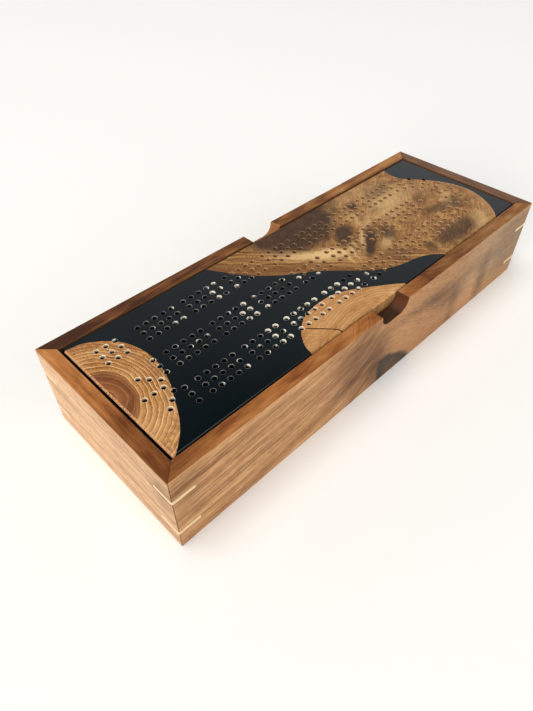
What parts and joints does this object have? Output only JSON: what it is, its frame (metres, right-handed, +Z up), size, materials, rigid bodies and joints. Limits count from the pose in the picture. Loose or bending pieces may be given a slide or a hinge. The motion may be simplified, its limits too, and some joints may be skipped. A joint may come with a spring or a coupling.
{
  "type": "cribbage board",
  "caption": "Cribbage board of dark resin and natural-edge timber that lifts out of a mitred walnut storage box with maple corner keys and finger notches.",
  "frame": {"origin": "centre of the box's footprint, on the surface it stands on", "axes": "+X along the box away from the start holes, +Z up; the long side with the smaller inlaid slab is at -Y"},
  "size_m": [0.355, 0.125, 0.0635],
  "materials": {
    "walnut": "oiled satin",
    "walnut_inside": "oiled satin",
    "birch_ply": "oiled satin",
    "maple": "oiled satin",
    "resin": "polished",
    "log_wood": "polished satin",
    "slab_wood": "polished satin",
    "figured_wood": "polished satin",
    "brass": "polished",
    "steel": "polished",
    "black_metal": "satin"
  },
  "bodies": {
    "box": {"side_front": "walnut", "side_back": "walnut", "end_left": "walnut", "end_right": "walnut", "bottom_panel": "birch_ply", "ledge_front": "walnut_inside", "ledge_back": "walnut_inside", "ledge_left": "walnut_inside", "ledge_right": "walnut_inside", "divider_pegs": "walnut_inside", "divider_middle": "walnut_inside", "peg_rack": "walnut_inside", "key_low_front_left": "maple", "key_low_front_right": "maple", "key_low_back_left": "maple", "key_low_back_right": "maple", "key_high_front_left": "maple", "key_high_front_right": "maple", "key_high_back_left": "maple", "key_high_back_right": "maple"},
    "board": {"resin_left": "resin", "resin_right": "resin", "log_slice": "log_wood", "lens_slab": "slab_wood", "figured_slab": "figured_wood"},
    "peg_brass_1": {"peg_brass_1": "brass"},
    "peg_brass_2": {"peg_brass_2": "brass"},
    "peg_brass_3": {"peg_brass_3": "brass"},
    "peg_steel_1": {"peg_steel_1": "steel"},
    "peg_steel_2": {"peg_steel_2": "steel"},
    "peg_steel_3": {"peg_steel_3": "steel"},
    "peg_black_1": {"peg_black_1": "black_metal"},
    "peg_black_2": {"peg_black_2": "black_metal"},
    "peg_black_3": {"peg_black_3": "black_metal"}
  },
  "joints": [
    {"name": "board_lift", "type": "slide", "parent": "box", "child": "board", "axis": [0, 0, 1], "range_m": [0, 0.1]},
    {"name": "peg_brass_1_lift", "type": "slide", "parent": "box", "child": "peg_brass_1", "axis": [0, 0, 1], "range_m": [0, 0.0095]},
    {"name": "peg_brass_2_lift", "type": "slide", "parent": "box", "child": "peg_brass_2", "axis": [0, 0, 1], "range_m": [0, 0.0095]},
    {"name": "peg_brass_3_lift", "type": "slide", "parent": "box", "child": "peg_brass_3", "axis": [0, 0, 1], "range_m": [0, 0.0095]},
    {"name": "peg_steel_1_lift", "type": "slide", "parent": "box", "child": "peg_steel_1", "axis": [0, 0, 1], "range_m": [0, 0.0095]},
    {"name": "peg_steel_2_lift", "type": "slide", "parent": "box", "child": "peg_steel_2", "axis": [0, 0, 1], "range_m": [0, 0.0095]},
    {"name": "peg_steel_3_lift", "type": "slide", "parent": "box", "child": "peg_steel_3", "axis": [0, 0, 1], "range_m": [0, 0.0095]},
    {"name": "peg_black_1_lift", "type": "slide", "parent": "box", "child": "peg_black_1", "axis": [0, 0, 1], "range_m": [0, 0.0095]},
    {"name": "peg_black_2_lift", "type": "slide", "parent": "box", "child": "peg_black_2", "axis": [0, 0, 1], "range_m": [0, 0.0095]},
    {"name": "peg_black_3_lift", "type": "slide", "parent": "box", "child": "peg_black_3", "axis": [0, 0, 1], "range_m": [0, 0.0095]}
  ]
}
